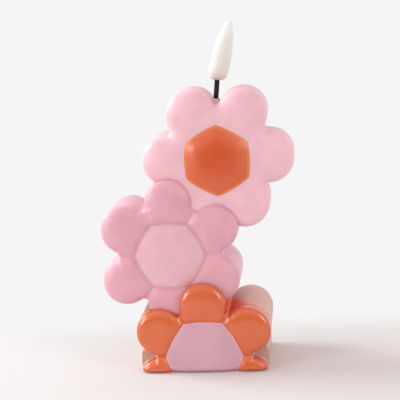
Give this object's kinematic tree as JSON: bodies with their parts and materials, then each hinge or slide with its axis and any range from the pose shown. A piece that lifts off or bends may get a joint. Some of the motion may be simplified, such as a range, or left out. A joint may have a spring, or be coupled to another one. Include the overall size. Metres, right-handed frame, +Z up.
{
  "type": "led flower candle",
  "caption": "Stack of three flower-shaped wax blocks, two pink and one part orange, with a leaning LED flame on a black wick and a battery case let into the underside.",
  "frame": {"origin": "centre of the whole object's outline, on the surface that it stands on", "axes": "+Z up through the stack, +X towards the side that the top flower leans out to, -Y towards the side whose orange flower heart faces the viewer"},
  "size_m": [0.1032, 0.0576, 0.1835],
  "materials": {
    "top_wax": "satin pink candle wax",
    "middle_wax": "satin rose candle wax",
    "base_wax": "satin lilac-pink candle wax",
    "orange_wax": "glossy burnt-orange candle wax",
    "flame_plastic": "milky translucent flame",
    "wick_black": "matt black wick sleeve",
    "led_lens": "warm tinted LED lens",
    "case_plastic": "fine-textured white plastic",
    "tube_paper": "plain wound paper tube",
    "board_green": "green solder mask",
    "chip_black": "matt black moulding",
    "steel": "nickel-plated steel",
    "cell_jacket": "plain dark grey jacket",
    "resistor_body": "tan lacquer",
    "slider_black": "black nylon",
    "wire_red": "red insulation",
    "wire_black": "black insulation"
  },
  "bodies": {
    "candle": {"base_flower_heart": "base_wax", "base_petal_left": "orange_wax", "base_petal_top": "orange_wax", "base_petal_right": "orange_wax", "base_foot_left": "orange_wax", "base_foot_right": "orange_wax", "middle_flower": "middle_wax", "top_flower_petals": "top_wax", "top_flower_heart": "orange_wax", "flame": "flame_plastic", "wick": "wick_black", "led": "led_lens", "wire_tube": "tube_paper", "battery_tray": "case_plastic", "case_cover": "case_plastic", "cover_screw_left": "steel", "cover_screw_right": "steel", "battery_cell_front": "cell_jacket", "battery_cell_rear": "cell_jacket", "contact_bridge": "steel", "contact_negative": "steel", "contact_positive": "steel", "contact_spring_front": "steel", "contact_spring_rear": "steel", "circuit_board": "board_green", "timer_chip": "chip_black", "resistor": "resistor_body", "timer_crystal": "steel", "board_screw_left": "steel", "board_screw_right": "steel", "switch_body": "steel", "lamp_wire_positive": "wire_red", "lamp_wire_negative": "wire_black", "battery_wire_positive": "wire_red", "battery_wire_negative": "wire_black"},
    "battery_door": {"battery_door": "case_plastic"},
    "switch_slider": {"switch_slider": "slider_black"}
  },
  "joints": [
    {"name": "battery_door_hinge", "type": "hinge", "parent": "candle", "child": "battery_door", "pos_m": [-0.02378, -0.0049, 0.001], "axis": [0, 1, 0], "range_deg": [0, 60]},
    {"name": "switch_slide", "type": "slide", "parent": "candle", "child": "switch_slider", "axis": [1, 0, 0], "range_m": [-0.002, 0.002]}
  ]
}
